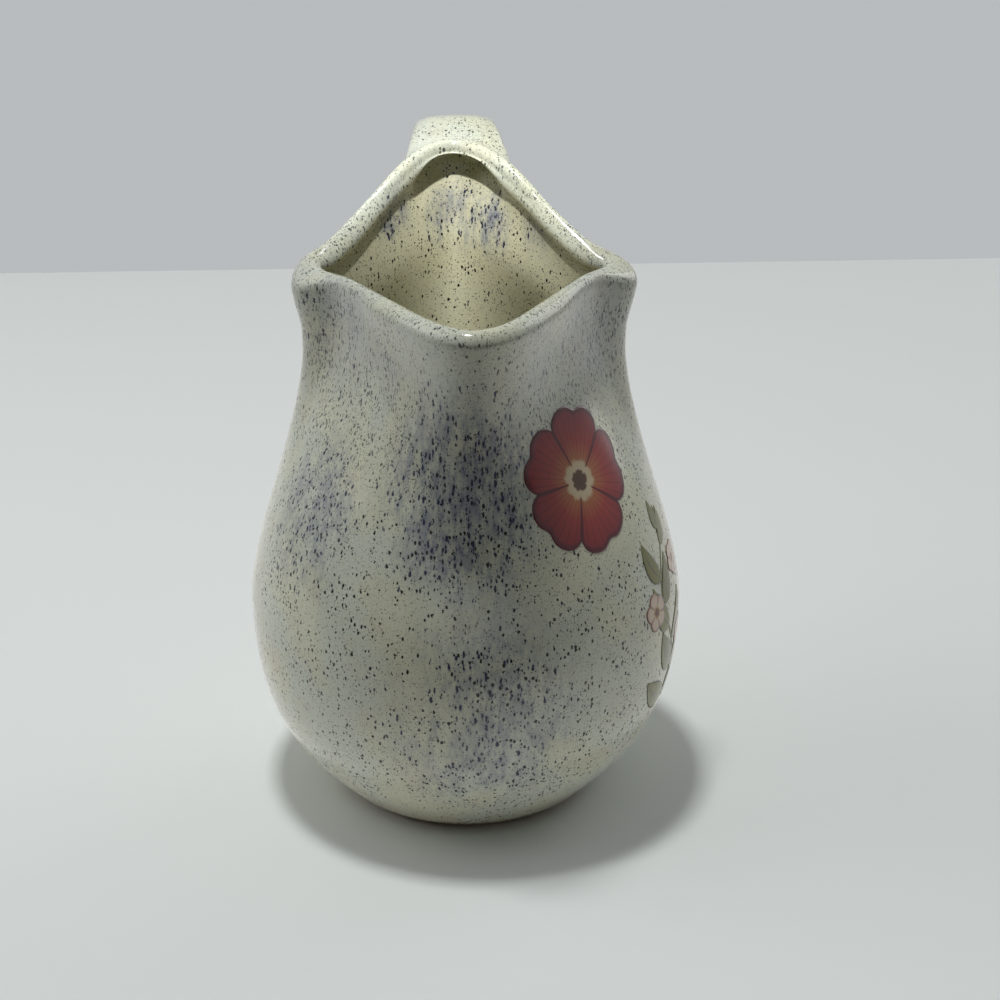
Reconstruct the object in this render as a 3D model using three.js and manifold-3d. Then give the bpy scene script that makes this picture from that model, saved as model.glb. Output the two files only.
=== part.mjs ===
// A speckled stoneware pitcher: a slip-cast body whose mouth is pulled into a spout and two side
// ears, a strap handle luted on with slip, a glaze coat over both, and two fired-on transfers.
// Millimetres, +Z up. The base stands on z = 0 round the origin, and the spout points to -Y.
import * as THREE from 'three';
import { mergeVertices } from 'three/addons/utils/BufferGeometryUtils.js';
import Module from 'manifold-3d';

const wasm = await Module();
wasm.setup();

// Body as it is turned, before its mouth is pulled; the neck is measured down from the rim
const footRadius = 38.5;
const bellyRadius = 65;
const bellyHeight = 62;
const neckRadius = 47.2;
const neckDepth = 23.3;
const rimHeight = 163.3;
const rimRollRadius = 3.4;
const wallThickness = 4.2;
const floorThickness = 5;

// How full the side's curves are: the slope at the foot in degrees, and the lengths of the tangents
const footSlope = 48;
const footTangentLength = 22;
const underBellyTangentLength = 37;
const overBellyTangentLength = 17;
const neckTangentLength = 20;

// Pulled mouth: reaches of its four flanks from the axis to the middle of the rolled rim, facings in
// degrees round from the spout, depths below the rim, and where the rim climbs towards the back
const spoutFlankFacing = 61;
const spoutFlankReach = 34.5;
const backFlankFacing = 132;
const backFlankReach = 35.7;
const pullDepth = 76;
const fullPullDepth = 7.3;
const backRise = 22.5;
const backRiseStart = 2;
const backRiseLead = 1.1;

// How sharply the flanks meet: in a wide curve at the spout, crisply at the ears, rounded at the back
const spoutSharpness = 3.2;
const earSharpness = 30;
const backSharpness = 11;
const spoutZoneEnd = 30;
const earZoneStart = 65;
const earZoneEnd = 112;
const backZoneStart = 150;

// Ears: the outside of the rim rolls out and down at the two side corners
const earFacing = 97;
const earSpread = 12;
const earReach = 5;
const earDrop = 3.6;

// Handle: stops along the middle of its strap, behind and below the top of the rim's back
const handleRootDepth = 20;
const handleRootDrop = 12.3;
const handleNeckReach = 4;
const handleNeckDrop = 3.6;
const handleCrownReach = 16;
const handleCrownRise = 1.2;
const handleShoulderReach = 38;
const handleShoulderDrop = 7.8;
const handleBackReach = 51;
const handleBackDrop = 39.8;

// The strap's last stops, behind and above the widest place of the belly
const handleLowReach = 21;
const handleLowRise = 42;
const handleEndDepth = 9;
const handleEndRise = 12;

// Strap, oval in section; its fullnesses are 1 for an ellipse and near 0 for a square
const rootWidth = 38;
const crownWidth = 26;
const endWidth = 30;
const strapThickness = 9;
const endThickness = 12;
const strapEdgeFullness = 0.7;
const strapFaceFullness = 0.8;

// Coats, joints and fits
const glazeThickness = 0.5;
const bareFootHeight = 3;
const slipThickness = 1;
const transferThickness = 0.3;
const gap = 0.3;

// Transfers: where their middles lie on the outside wall, the bloom's down from the rim, and their sizes
const bloomFacing = 38;
const bloomDepth = 50.3;
const bloomRadius = 18;
const bloomLobes = 5;
const bloomLobeDepth = 2;
const sprigFacing = 66;
const sprigHeight = 66;
const sprigHalfWidth = 17;
const sprigHalfHeight = 33;

// How finely round shapes are cut into flats, and how far the flats gather at the mouth's corners
const columns = 48;
const lowerSteps = 5;
const upperSteps = 6;
const flareSteps = 3;
const rollSteps = 6;
const strapSteps = 4;
const strapSides = 14;
const patchRings = 4;
const patchSpokes = 30;
const measureSteps = 36;
const mouthCorners = 4;
const cornerGather = 0.5;

// Finishes
const clayColour = 0xd8c6a4;
const slipColour = 0xc9b692;
const glazeColour = 0xcfc8b8;
const redPrintColour = 0x8a2f34;
const greenPrintColour = 0x6b7440;
const bareRoughness = 0.85;
const glossyRoughness = 0.15;
const printRoughness = 0.3;

// Places that follow from the sizes
const coat = glazeThickness + gap;
const neckHeight = rimHeight - neckDepth;
const rollRadius = neckRadius - wallThickness + rimRollRadius;
const rollHeight = rimHeight - rimRollRadius;
const rollUnderside = -Math.PI / 12;
const backHeight = rimHeight + backRise;
const bloomHeight = rimHeight - bloomDepth;
const backReach = mouthRadius(Math.PI);

// Side of the body, as distances from the axis and heights

const sideCurves = makeSideCurves();

function makeSideCurves() {
  const slope = THREE.MathUtils.degToRad(footSlope);
  const foot = new THREE.Vector2(footRadius, 0);
  const footPull = new THREE.Vector2(Math.cos(slope), Math.sin(slope)).multiplyScalar(footTangentLength);
  const belly = new THREE.Vector2(bellyRadius, bellyHeight);
  const neck = new THREE.Vector2(neckRadius, neckHeight);
  const underRoll = rollPoint(rollUnderside, rimRollRadius);
  const rollPull = new THREE.Vector2(Math.sin(rollUnderside), -Math.cos(rollUnderside));
  const lower = new THREE.CubicBezierCurve(
    foot,
    foot.clone().add(footPull),
    new THREE.Vector2(bellyRadius, bellyHeight - underBellyTangentLength),
    belly,
  );
  const upper = new THREE.CubicBezierCurve(
    belly,
    new THREE.Vector2(bellyRadius, bellyHeight + overBellyTangentLength),
    new THREE.Vector2(neckRadius, neckHeight - neckTangentLength),
    neck,
  );
  const flare = new THREE.CubicBezierCurve(
    neck,
    new THREE.Vector2(neckRadius, (neckHeight + underRoll.y) / 2),
    underRoll.clone().addScaledVector(rollPull, 2 * rimRollRadius),
    underRoll,
  );
  return { lower, upper, flare };
}

function rollPoint(angle, radius) {
  return new THREE.Vector2(
    rollRadius + radius * Math.cos(angle),
    rollHeight + radius * Math.sin(angle),
  );
}

// Points along one of the side's curves, moved into the wall by an inset
function curvePoints(curve, inset, steps) {
  const points = [];
  for (let step = 0; step <= steps; step += 1) {
    const along = curve.getTangent(step / steps);
    const outward = new THREE.Vector2(along.y, -along.x);
    points.push(curve.getPoint(step / steps).addScaledVector(outward, -inset));
  }
  return points;
}

// From the middle of the base up the outside, to just under the rolled rim
function outerSide(inset) {
  const { lower, upper, flare } = sideCurves;
  const [foot, ...overFoot] = curvePoints(lower, inset, lowerSteps);
  return [
    new THREE.Vector2(0, 0),
    new THREE.Vector2(foot.x, 0),
    ...overFoot,
    ...curvePoints(upper, inset, upperSteps).slice(1),
    ...curvePoints(flare, inset, flareSteps).slice(1, -1),
  ];
}

function rimRoll(inset, endAngle) {
  const points = [];
  for (let step = 0; step <= rollSteps; step += 1) {
    const angle = THREE.MathUtils.lerp(rollUnderside, endAngle, step / rollSteps);
    points.push(rollPoint(angle, rimRollRadius - inset));
  }
  return points;
}

// Down the inside, from the neck to the middle of the floor
function innerSide(inset) {
  const depth = wallThickness - inset;
  const floor = floorThickness - inset;
  const wall = [
    ...curvePoints(sideCurves.upper, depth, upperSteps).reverse(),
    ...curvePoints(sideCurves.lower, depth, lowerSteps).reverse().slice(1),
  ];
  const below = wall.findIndex((point) => point.y <= floor);
  const corner = new THREE.Vector2(radiusBetween(wall[below - 1], wall[below], floor), floor);
  return [...wall.slice(0, below), corner, new THREE.Vector2(0, floor)];
}

function radiusBetween(start, end, height) {
  return THREE.MathUtils.mapLinear(height, start.y, end.y, start.x, end.x);
}

// Distance from the axis to the outside at a height under the rolled rim
function outerRadiusAt(height) {
  const curves = [sideCurves.lower, sideCurves.upper, sideCurves.flare];
  const side = curves.flatMap((curve) => curvePoints(curve, 0, measureSteps));
  const above = side.findIndex((point) => point.y > height);
  return radiusBetween(side[above - 1], side[above], height);
}

// Mouth

// How far a facing is turned from the spout to either side, in degrees
function turnFromSpout(facing) {
  return THREE.MathUtils.radToDeg(Math.abs(Math.atan2(Math.sin(facing), Math.cos(facing))));
}

// Distance from the axis to the rolled rim: flanks that meet in softened corners
function mouthRadius(facing) {
  const { lerp, smoothstep, degToRad } = THREE.MathUtils;
  const turn = turnFromSpout(facing);
  const toEar = smoothstep(turn, spoutZoneEnd, earZoneStart);
  const toBack = smoothstep(turn, earZoneEnd, backZoneStart);
  const sharpness = lerp(lerp(spoutSharpness, earSharpness, toEar), backSharpness, toBack);
  const flanks = [
    [spoutFlankFacing, spoutFlankReach],
    [-spoutFlankFacing, spoutFlankReach],
    [backFlankFacing, backFlankReach],
    [-backFlankFacing, backFlankReach],
  ];
  let sum = 0;
  for (const [flankFacing, reach] of flanks) {
    const lean = Math.cos(facing - degToRad(flankFacing));
    sum += Math.max(0, lean / reach) ** sharpness;
  }
  return sum ** (-1 / sharpness);
}

// How far a facing belongs to one of the two ears, from 0 to 1
function earShare(facing) {
  return Math.exp(-(((turnFromSpout(facing) - earFacing) / earSpread) ** 2));
}

// Where a point of the turned body lies once the mouth is pulled
function pull(facing, radius, height) {
  if (radius === 0) {
    return new THREE.Vector3(0, 0, height);
  }
  const { lerp, smoothstep } = THREE.MathUtils;
  const share = smoothstep(height, rimHeight - pullDepth, rimHeight - fullPullDepth);
  const guide = (angle) => {
    const reach = lerp(rollRadius, mouthRadius(angle), share);
    return new THREE.Vector2(reach * Math.sin(angle), -reach * Math.cos(angle));
  };
  const gather = (share * cornerGather * Math.sin(mouthCorners * facing)) / mouthCorners;
  const turned = facing - gather;
  const tinyTurn = 1e-3;
  const along = guide(turned + tinyTurn).sub(guide(turned - tinyTurn)).normalize();
  const outward = new THREE.Vector2(along.y, -along.x);
  const outside = smoothstep(radius, rollRadius - rimRollRadius, rollRadius + rimRollRadius / 2);
  const ear = share * earShare(turned) * outside;
  const plan = guide(turned).addScaledVector(outward, radius - rollRadius + ear * earReach);
  const climb = smoothstep(plan.y, backRiseStart, backReach - backRiseLead);
  return new THREE.Vector3(plan.x, plan.y, height + share * backRise * climb - ear * earDrop);
}

// Turns an outline round the axis, then pulls its mouth
function pulledLathe(outline) {
  const geometry = new THREE.LatheGeometry(outline, columns);
  const position = geometry.getAttribute('position');
  for (let index = 0; index < position.count; index += 1) {
    const x = position.getX(index);
    const z = position.getZ(index);
    const point = pull(Math.atan2(x, z), Math.hypot(x, z), position.getY(index));
    position.setXYZ(index, point.x, point.y, point.z);
  }
  return solid(geometry);
}

// The body's shell: floor, wall and rolled rim, cut back all over by an inset
function bodyShell(inset) {
  return pulledLathe([...outerSide(inset), ...rimRoll(inset, Math.PI), ...innerSide(inset)]);
}

// The slice next to the ground that the glaze leaves bare
function bareFoot() {
  return pulledLathe([
    new THREE.Vector2(0, -bareFootHeight),
    new THREE.Vector2(bellyRadius, -bareFootHeight),
    new THREE.Vector2(bellyRadius, bareFootHeight),
    new THREE.Vector2(0, bareFootHeight),
  ]);
}

// All that lies inside the body or over its mouth, to a distance outside its clay
function bodySpace(distance) {
  const overMouth = 2 * rimHeight;
  return pulledLathe([
    ...outerSide(coat - distance),
    ...rimRoll(coat - distance, Math.PI / 2),
    new THREE.Vector2(rollRadius, overMouth),
    new THREE.Vector2(0, overMouth),
  ]);
}

// Handle

const fromRim = (reach, rise) => new THREE.Vector3(0, backReach + reach, backHeight + rise);
const fromBelly = (reach, rise) => new THREE.Vector3(0, bellyRadius + reach, bellyHeight + rise);
const strapSection = (width, thickness) => new THREE.Vector3(width / 2, thickness / 2, 0);

// The middle of the strap and its half sections, stop by stop
const strapMiddles = [
  fromRim(-handleRootDepth, -handleRootDrop),
  fromRim(handleNeckReach, -handleNeckDrop),
  fromRim(handleCrownReach, handleCrownRise),
  fromRim(handleShoulderReach, -handleShoulderDrop),
  fromRim(handleBackReach, -handleBackDrop),
  fromBelly(handleLowReach, handleLowRise),
  fromBelly(-handleEndDepth, handleEndRise),
];
const strapSections = [
  strapSection(rootWidth, endThickness),
  strapSection(crownWidth, strapThickness),
  strapSection(crownWidth, strapThickness),
  strapSection(crownWidth, strapThickness),
  strapSection(crownWidth, strapThickness),
  strapSection(crownWidth, strapThickness),
  strapSection(endWidth, endThickness),
];
const crownIndex = 2;
const backIndex = 4;
const endIndex = 6;

// The strap from one stop to another, closed at both ends and grown all round by a distance
function strap(grow, first = 0, last = endIndex) {
  const middleLine = new THREE.CatmullRomCurve3(strapMiddles);
  const sections = new THREE.CatmullRomCurve3(strapSections);
  const across = new THREE.Vector3(1, 0, 0);
  const rings = (last - first) * strapSteps;
  const positions = [];
  for (let ring = 0; ring <= rings; ring += 1) {
    const at = (first + ring / strapSteps) / endIndex;
    const middle = middleLine.getPoint(at);
    const up = new THREE.Vector3().crossVectors(across, middleLine.getTangent(at));
    const section = sections.getPoint(at).addScalar(grow);
    for (let side = 0; side < strapSides; side += 1) {
      const turn = (2 * Math.PI * side) / strapSides;
      const sideways = section.x * fullness(Math.cos(turn), strapEdgeFullness);
      const upwards = section.y * fullness(Math.sin(turn), strapFaceFullness);
      const point = middle.clone().addScaledVector(across, sideways).addScaledVector(up, upwards);
      positions.push(...point.toArray());
    }
  }
  const faces = [];
  for (let ring = 0; ring < rings; ring += 1) {
    for (let side = 0; side < strapSides; side += 1) {
      const here = ring * strapSides + side;
      const beside = ring * strapSides + ((side + 1) % strapSides);
      faces.push(here, here + strapSides, beside);
      faces.push(beside, here + strapSides, beside + strapSides);
    }
  }
  const lastRing = rings * strapSides;
  for (let side = 1; side < strapSides - 1; side += 1) {
    faces.push(0, side, side + 1);
    faces.push(lastRing, lastRing + side + 1, lastRing + side);
  }
  return solid(facets(positions, faces));
}

function fullness(share, power) {
  return Math.sign(share) * Math.abs(share) ** power;
}

// Transfers

// A block through the outside wall, whose edge is at a distance from its middle for each direction
function patchBlock(facing, height, edge) {
  const positions = [];
  for (const outset of [-wallThickness, wallThickness]) {
    for (let ring = 0; ring <= patchRings; ring += 1) {
      for (let spoke = 0; spoke < patchSpokes; spoke += 1) {
        const turn = (2 * Math.PI * spoke) / patchSpokes;
        const reach = (edge(turn) * ring) / patchRings;
        const level = height + reach * Math.sin(turn);
        const radius = outerRadiusAt(level);
        const swing = THREE.MathUtils.degToRad(facing) + (reach * Math.cos(turn)) / radius;
        positions.push(...pull(swing, radius + outset, level).toArray());
      }
    }
  }
  const faces = [];
  const layer = (patchRings + 1) * patchSpokes;
  const rim = patchRings * patchSpokes;
  for (let spoke = 0; spoke < patchSpokes; spoke += 1) {
    const beside = (spoke + 1) % patchSpokes;
    for (let ring = 0; ring < patchRings; ring += 1) {
      const near = ring * patchSpokes;
      const far = near + patchSpokes;
      faces.push(near + spoke, far + beside, far + spoke);
      faces.push(near + spoke, near + beside, far + beside);
      faces.push(layer + near + spoke, layer + far + spoke, layer + far + beside);
      faces.push(layer + near + spoke, layer + far + beside, layer + near + beside);
    }
    faces.push(rim + spoke, rim + beside, layer + rim + beside);
    faces.push(rim + spoke, layer + rim + beside, layer + rim + spoke);
  }
  return solid(facets(positions, faces));
}

function bloomEdge(turn) {
  return bloomRadius + bloomLobeDepth * Math.cos(bloomLobes * turn);
}

function sprigEdge(turn) {
  return 1 / Math.hypot(Math.cos(turn) / sprigHalfWidth, Math.sin(turn) / sprigHalfHeight);
}

// Solids and meshes

function facets(positions, faces) {
  const geometry = new THREE.BufferGeometry();
  geometry.setAttribute('position', new THREE.Float32BufferAttribute(positions, 3));
  geometry.setIndex(faces);
  return geometry;
}

// A solid from a closed mesh, without the empty triangles at the poles
function solid(geometry) {
  geometry.deleteAttribute('normal');
  geometry.deleteAttribute('uv');
  const merged = mergeVertices(geometry);
  const index = merged.getIndex().array;
  const triVerts = [];
  for (let corner = 0; corner < index.length; corner += 3) {
    const [a, b, c] = index.slice(corner, corner + 3);
    if (a !== b && b !== c && c !== a) {
      triVerts.push(a, b, c);
    }
  }
  return new wasm.Manifold(
    new wasm.Mesh({
      numProp: 3,
      vertProperties: merged.getAttribute('position').array,
      triVerts: new Uint32Array(triVerts),
    }),
  );
}

const pitcher = new THREE.Group();

function addPiece(name, piece, colour, roughness) {
  const { vertProperties, triVerts } = piece.getMesh();
  const geometry = facets(Array.from(vertProperties), Array.from(triVerts));
  geometry.computeVertexNormals();
  const material = new THREE.MeshStandardMaterial({ color: colour, roughness, metalness: 0 });
  const mesh = new THREE.Mesh(geometry, material);
  mesh.name = name;
  pitcher.add(mesh);
}

// Body: the clay shell, and its glaze, which leaves the foot bare and is open where the strap is luted

addPiece('clay_body', bodyShell(coat), clayColour, bareRoughness);

const jointHoles = strap(gap - coat).subtract(bodySpace(0));
const bodyGlaze = bodyShell(0).subtract(bodyShell(glazeThickness)).subtract(bareFoot());
addPiece('body_glaze', bodyGlaze.subtract(jointHoles), glazeColour, glossyRoughness);

// Handle: slip on the clay at each end, the strap on the slip, and glaze round the strap

const slipCoat = bodySpace(gap + slipThickness).subtract(bodySpace(gap));
const upperSlip = strap(-coat, 0, crownIndex).intersect(slipCoat);
const lowerSlip = strap(-coat, backIndex, endIndex).intersect(slipCoat);
addPiece('upper_slip_joint', upperSlip, slipColour, bareRoughness);
addPiece('lower_slip_joint', lowerSlip, slipColour, bareRoughness);

const clayHandle = strap(-coat).subtract(bodySpace(gap + slipThickness + gap));
addPiece('clay_handle', clayHandle, clayColour, bareRoughness);

const handleGlaze = strap(0).subtract(strap(-glazeThickness)).subtract(bodySpace(coat + gap));
addPiece('handle_glaze', handleGlaze, glazeColour, glossyRoughness);

// Transfers on the glaze: a round bloom high on the shoulder and a leafy sprig low on the side

const underFilm = bodySpace(coat + gap);
const film = bodySpace(coat + gap + transferThickness).subtract(underFilm);
const bloom = patchBlock(bloomFacing, bloomHeight, bloomEdge).intersect(film);
const sprig = patchBlock(sprigFacing, sprigHeight, sprigEdge).intersect(film);
addPiece('bloom_transfer', bloom, redPrintColour, printRoughness);
addPiece('sprig_transfer', sprig, greenPrintColour, printRoughness);

export default pitcher;
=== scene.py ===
import math

import bmesh
import bpy
import numpy as np
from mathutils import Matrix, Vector
from mathutils.bvhtree import BVHTree


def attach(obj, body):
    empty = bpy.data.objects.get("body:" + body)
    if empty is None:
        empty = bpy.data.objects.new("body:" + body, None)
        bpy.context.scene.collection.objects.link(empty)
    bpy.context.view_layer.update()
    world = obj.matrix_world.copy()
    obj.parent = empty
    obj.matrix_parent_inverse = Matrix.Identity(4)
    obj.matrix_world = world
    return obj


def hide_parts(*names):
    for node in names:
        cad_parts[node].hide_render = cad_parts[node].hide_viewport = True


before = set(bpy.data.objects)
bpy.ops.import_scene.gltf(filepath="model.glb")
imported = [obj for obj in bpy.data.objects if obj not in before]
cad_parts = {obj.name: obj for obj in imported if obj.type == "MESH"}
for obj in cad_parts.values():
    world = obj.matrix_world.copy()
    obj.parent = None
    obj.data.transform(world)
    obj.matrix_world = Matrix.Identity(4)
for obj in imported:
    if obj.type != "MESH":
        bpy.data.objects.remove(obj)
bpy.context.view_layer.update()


# Cast body
# A stoneware shell, slip-cast in one piece and trimmed flat underneath. While the clay was soft its
# mouth was pulled: a spout in front, an ear at each side, and a rolled rim that climbs to the back.

mm = 0.001
foot_radius = 38.5 * mm
foot_slope = math.radians(48)
belly_radius = 65 * mm
belly_height = 62 * mm
neck_radius = 47.2 * mm
rim_height = 163.3 * mm
neck_height = rim_height - 23.3 * mm
rim_roll_radius = 3.4 * mm
wall_thickness = 4.2 * mm
floor_thickness = 5 * mm
coat = 0.8 * mm

roll_radius = neck_radius - wall_thickness + rim_roll_radius
roll_height = rim_height - rim_roll_radius
roll_underside = -math.pi / 12


def roll_points(angles, radius):
    return np.stack([roll_radius + radius * np.cos(angles), roll_height + radius * np.sin(angles)], -1)


# The side as cubic curves of distances from the axis and heights: foot to belly, to neck, to rolled rim
under_roll = roll_points(np.array(roll_underside), rim_roll_radius)
roll_pull = 2 * rim_roll_radius * np.array([math.sin(roll_underside), -math.cos(roll_underside)])
foot_pull = 22 * mm * np.array([math.cos(foot_slope), math.sin(foot_slope)])
lower_side = np.array([
    (foot_radius, 0),
    (foot_radius + foot_pull[0], foot_pull[1]),
    (belly_radius, belly_height - 37 * mm),
    (belly_radius, belly_height),
])
upper_side = np.array([
    (belly_radius, belly_height),
    (belly_radius, belly_height + 17 * mm),
    (neck_radius, neck_height - 20 * mm),
    (neck_radius, neck_height),
])
flare_side = np.array([
    (neck_radius, neck_height),
    (neck_radius, (neck_height + under_roll[1]) / 2),
    under_roll + roll_pull,
    under_roll,
])


def side_points(curve, inset, shares):
    """Points along one of the side's curves, moved into the wall by an inset."""
    t = np.asarray(shares, float)[:, None]
    s = 1 - t
    points = s**3 * curve[0] + 3 * s**2 * t * curve[1] + 3 * s * t**2 * curve[2] + t**3 * curve[3]
    slopes = s**2 * (curve[1] - curve[0]) + 2 * s * t * (curve[2] - curve[1]) + t**2 * (curve[3] - curve[2])
    slopes /= np.linalg.norm(slopes, axis=1)[:, None]
    return points - inset * np.stack([slopes[:, 1], -slopes[:, 0]], -1)


def shares(steps, first=0.0, last=1.0):
    return np.linspace(first, last, steps + 1)


def outside_line(inset, first_share=0.0):
    """Up the outside, over the rolled rim to its inner edge."""
    roll_angles = np.linspace(roll_underside, math.pi, 30)
    return np.concatenate([
        side_points(lower_side, inset, shares(60, first_share)),
        side_points(upper_side, inset, shares(70))[1:],
        side_points(flare_side, inset, shares(24))[1:-1],
        roll_points(roll_angles, rim_roll_radius - inset),
    ])


def inside_line(inset):
    """From under the rim's inner edge down the inside wall and over the floor to the axis."""
    depth = wall_thickness - inset
    floor = floor_thickness - inset
    corner_round = 5 * mm
    tucked_under = math.pi + 0.85
    under_rim = roll_points(np.linspace(math.pi, tucked_under, 8)[1:], rim_roll_radius - inset)
    set_back = under_rim[-1] + 4 * mm * np.array([-math.sin(tucked_under), math.cos(tucked_under)])
    neck = np.array([neck_radius - depth, neck_height])
    throat = np.array([under_rim[-1], set_back, neck + (0.4 * mm, 9 * mm), neck])
    wall = np.concatenate([
        under_rim,
        side_points(throat, 0, shares(24))[1:-1],
        side_points(upper_side, depth, shares(70))[::-1],
        side_points(lower_side, depth, shares(60))[-2::-1],
    ])
    wall = wall[wall[:, 1] > floor + corner_round]
    edge = wall[-1]
    bend = np.array([edge[0] - 0.9 * corner_round, floor])
    t = shares(10)[1:, None]
    end = np.array([bend[0] - corner_round, floor])
    corner = (1 - t)**2 * edge + 2 * (1 - t) * t * bend + t**2 * end
    flat = np.stack([np.linspace(end[0], 0, 25)[1:], np.full(24, floor)], -1)
    return np.concatenate([wall, corner, flat])


# The mouth's four flanks, as facings from the spout and distances to the middle of the rolled rim,
# and how sharply they meet: in a wide curve at the spout, sharply at the ears, rounded at the back
spout_flank_facing, back_flank_facing = math.radians(61), math.radians(132)
right_spout_reach, left_spout_reach = 35.1 * mm, 33.8 * mm
right_back_reach, left_back_reach = 35.9 * mm, 38 * mm
spout_sharpness, ear_sharpness, back_sharpness = 3.2, 30, 8
mouth_corners = 4
corner_gather = 0.5
pull_depth = 76 * mm
full_pull_depth = 7.3 * mm
back_rise = 22.5 * mm
back_rise_start = 2 * mm
back_rise_lead = 1.1 * mm
ear_facing = math.radians(97)
ear_spread, ear_back_spread = math.radians(12), math.radians(7)
ear_reach, ear_inner_reach = 5 * mm, 2 * mm
ear_drop = 3.6 * mm
ear_flare = 1.4 * mm
ear_flare_depth = 17 * mm
ear_roll_share = 0.55
back_roll_share = 0.5
back_inner_share = 0.72
back_reach = 50.1 * mm

# A finger's hollow under the back of the rim and the thinned edge above it, by their depths below the
# rim and their turns from the spout
hollow_depth = 4.4 * mm
hollow_foot, hollow_low, hollow_high, hollow_head = 16 * mm, 8 * mm, 6.4 * mm, 4.4 * mm
hollow_side, hollow_middle = math.radians(156), math.radians(171)
back_edge_lift = 3.4 * mm
thinned_foot, thinned_head = 18 * mm, 6 * mm
crest_fade = 2 * mm


def smoothstep(low, high, value):
    t = np.clip((value - low) / (high - low), 0, 1)
    return t * t * (3 - 2 * t)


def turn_from_spout(facing):
    return np.abs(np.arctan2(np.sin(facing), np.cos(facing)))


def towards_ears(facing):
    return smoothstep(math.radians(30), math.radians(65), turn_from_spout(facing))


def towards_back(facing):
    return smoothstep(math.radians(112), math.radians(150), turn_from_spout(facing))


def mouth_radius(facing):
    """Distance from the axis to the rolled rim: flanks that meet in softened corners."""
    sharpness = spout_sharpness + (ear_sharpness - spout_sharpness) * towards_ears(facing)
    sharpness = sharpness + (back_sharpness - sharpness) * towards_back(facing)
    flanks = [
        (spout_flank_facing, right_spout_reach),
        (-spout_flank_facing, left_spout_reach),
        (back_flank_facing, right_back_reach),
        (-back_flank_facing, left_back_reach),
    ]
    total = sum(np.maximum(0, np.cos(facing - turn) / reach) ** sharpness for turn, reach in flanks)
    return total ** (-1 / sharpness)


def pull(facing, radius, height, hollow=0.0):
    """Where points of the turned body lie once the mouth is pulled. hollow is the share of the finger's
    hollow under the back of the rim, and of the rim's thinning above it."""
    share = smoothstep(rim_height - pull_depth, rim_height - full_pull_depth, height)
    turned = facing - share * corner_gather * np.sin(mouth_corners * facing) / mouth_corners

    def guide(angle):
        reach = roll_radius + share * (mouth_radius(angle) - roll_radius)
        return np.stack([reach * np.sin(angle), -reach * np.cos(angle)], -1)

    tiny_turn = 1e-3
    along = guide(turned + tiny_turn) - guide(turned - tiny_turn)
    along /= np.linalg.norm(along, axis=-1)[..., None]
    outward = np.stack([along[..., 1], -along[..., 0]], -1)
    from_ear = turn_from_spout(turned) - ear_facing
    outside = smoothstep(roll_radius - rim_roll_radius, roll_radius + rim_roll_radius / 2, radius)
    spread = np.where(from_ear < 0, ear_spread, ear_back_spread)
    corner = share * np.exp(-((from_ear / spread) ** 2))
    ear = corner * outside
    by_rim = smoothstep(neck_height - 4 * mm, roll_height, height)
    outer_roll = 1 + (ear_roll_share - 1) * towards_ears(turned)
    outer_roll = outer_roll + (back_roll_share - outer_roll) * towards_back(turned)
    inner_roll = 1 + (back_inner_share - 1) * towards_back(turned)
    offset = radius - roll_radius
    offset = offset * (1 + by_rim * (np.where(offset > 0, outer_roll, inner_roll) - 1))
    flare = ear_flare * smoothstep(rim_height - ear_flare_depth, roll_height, height)
    offset = offset + corner * ear_inner_reach + ear * (ear_reach - ear_inner_reach + flare)
    under_bead = smoothstep(rim_height - hollow_foot, rim_height - hollow_low, height)
    under_bead = under_bead * smoothstep(rim_height - hollow_head, rim_height - hollow_high, height)
    at_back = hollow * smoothstep(hollow_side, hollow_middle, turn_from_spout(turned))
    offset = offset + hollow_depth * under_bead * at_back
    thinned = smoothstep(rim_height - thinned_foot, rim_height - thinned_head, height)
    thinned = thinned * smoothstep(rim_height, rim_height - thinned_head, height)
    height = height + back_edge_lift * thinned * at_back
    plan = guide(turned) + outward * offset[..., None]
    climb = smoothstep(back_rise_start, back_reach - back_rise_lead, plan[..., 1])
    return np.concatenate([plan, (height + share * back_rise * climb - ear * ear_drop)[..., None]], -1)


columns = 360
facings = np.linspace(-math.pi, math.pi, columns, endpoint=False)


def inner_half(line, inside_points):
    """1 for the points of a line that lie inside the rolled rim's crest, 0 for those outside it. The
    last points of the line are the inside wall."""
    share = smoothstep(roll_radius, roll_radius - crest_fade, line[:, :1])
    share[-inside_points:] = 1
    return share


def turned_grid(line, hollow):
    """A line of distances and heights, turned round the axis and pulled: rows of columns of points."""
    facing, radius = np.meshgrid(facings, line[:, 0])
    height = np.broadcast_to(line[:, 1:], radius.shape)
    return pull(facing, radius, height, hollow)


def ring_faces(rows, ring, first=0):
    """Quads between rows of points that close round, each row a ring."""
    row, column = np.meshgrid(np.arange(rows - 1), np.arange(ring), indexing="ij")
    beside = (column + 1) % ring
    here, there = first + row * ring, first + (row + 1) * ring
    return np.stack([here + column, here + beside, there + beside, there + column], -1).reshape(-1, 4)


def new_piece(name, points, faces):
    mesh = bpy.data.meshes.new(name)
    mesh.from_pydata(np.asarray(points).reshape(-1, 3).tolist(), [], np.asarray(faces).tolist())
    mesh.update()
    mesh.shade_smooth()
    piece = bpy.data.objects.new(name, mesh)
    bpy.context.scene.collection.objects.link(piece)
    return piece


def merge_poles(piece):
    """Joins the points that meet on the axis."""
    least_gap = 0.5e-6
    shape = bmesh.new()
    shape.from_mesh(piece.data)
    bmesh.ops.remove_doubles(shape, verts=shape.verts, dist=least_gap)
    bmesh.ops.dissolve_degenerate(shape, edges=shape.edges, dist=least_gap)
    shape.to_mesh(piece.data)
    shape.free()


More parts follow.
